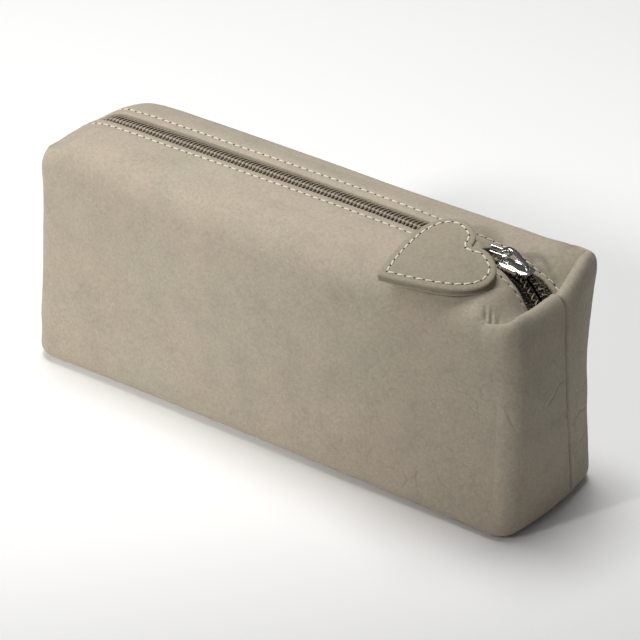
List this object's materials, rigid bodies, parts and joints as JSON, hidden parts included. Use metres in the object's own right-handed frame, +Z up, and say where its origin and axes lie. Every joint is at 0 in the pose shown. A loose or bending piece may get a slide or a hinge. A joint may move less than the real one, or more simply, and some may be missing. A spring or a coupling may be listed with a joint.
{
  "type": "toiletry bag",
  "caption": "Boxed-corner soft leather wash bag closed by a full-length coil zip; slider with link and heart-shaped leather pull; mouth folds open along the zip.",
  "frame": {"origin": "centre of the flat base", "axes": "+X along the length towards the closed end of the zip, -Y towards the front, +Z up"},
  "size_m": [0.206, 0.0622, 0.094],
  "materials": {
    "leather": "matt nubuck",
    "lining": "plain cotton",
    "zip_tape": "woven herringbone tape",
    "zip_coil": "nylon coil",
    "thread": "waxed sewing thread",
    "chrome": "polished",
    "core_board": "bonded leather board, cut edge"
  },
  "bodies": {
    "bag": {"front_panel": "leather", "back_panel": "leather", "front_lining": "lining", "back_lining": "lining", "front_zip_tape_ends": "zip_tape", "back_zip_tape_ends": "zip_tape", "front_zip_coil_ends": "zip_coil", "back_zip_coil_ends": "zip_coil", "front_topstitch_ends": "thread", "back_topstitch_ends": "thread"},
    "front_mouth": {"front_mouth_strip": "leather", "front_mouth_lining": "lining", "front_zip_tape": "zip_tape", "front_zip_coil": "zip_coil", "front_topstitch": "thread"},
    "back_mouth": {"back_mouth_strip": "leather", "back_mouth_lining": "lining", "back_zip_tape": "zip_tape", "back_zip_coil": "zip_coil", "back_topstitch": "thread"},
    "slider": {"slider_body": "chrome"},
    "link": {"pull_link": "chrome"},
    "heart_pull": {"pull_loop": "leather", "heart_top_leather": "leather", "heart_under_leather": "leather", "heart_core": "core_board", "heart_stitching": "thread"}
  },
  "joints": [
    {"name": "zip_slide", "type": "slide", "parent": "bag", "child": "slider", "axis": [-0.9992, 0, 0.039], "range_m": [0, 0.162]},
    {"name": "front_mouth_fold", "type": "hinge", "parent": "bag", "child": "front_mouth", "pos_m": [-0.00019, -0.02472, 0.0814], "axis": [0.9992, 0, -0.039], "range_deg": [0, 60]},
    {"name": "back_mouth_fold", "type": "hinge", "parent": "bag", "child": "back_mouth", "pos_m": [-0.00019, 0.02472, 0.0814], "axis": [-0.9992, 0, 0.039], "range_deg": [0, 60]},
    {"name": "link_swing", "type": "hinge", "parent": "slider", "child": "link", "pos_m": [0.07921, 0, 0.08776], "axis": [0, 1, 0], "range_deg": [0, 70]},
    {"name": "heart_swing", "type": "hinge", "parent": "link", "child": "heart_pull", "pos_m": [0.07111, -0.00144, 0.08783], "axis": [-0.8391, 0.5039, 0.2049], "range_deg": [0, 40]}
  ]
}
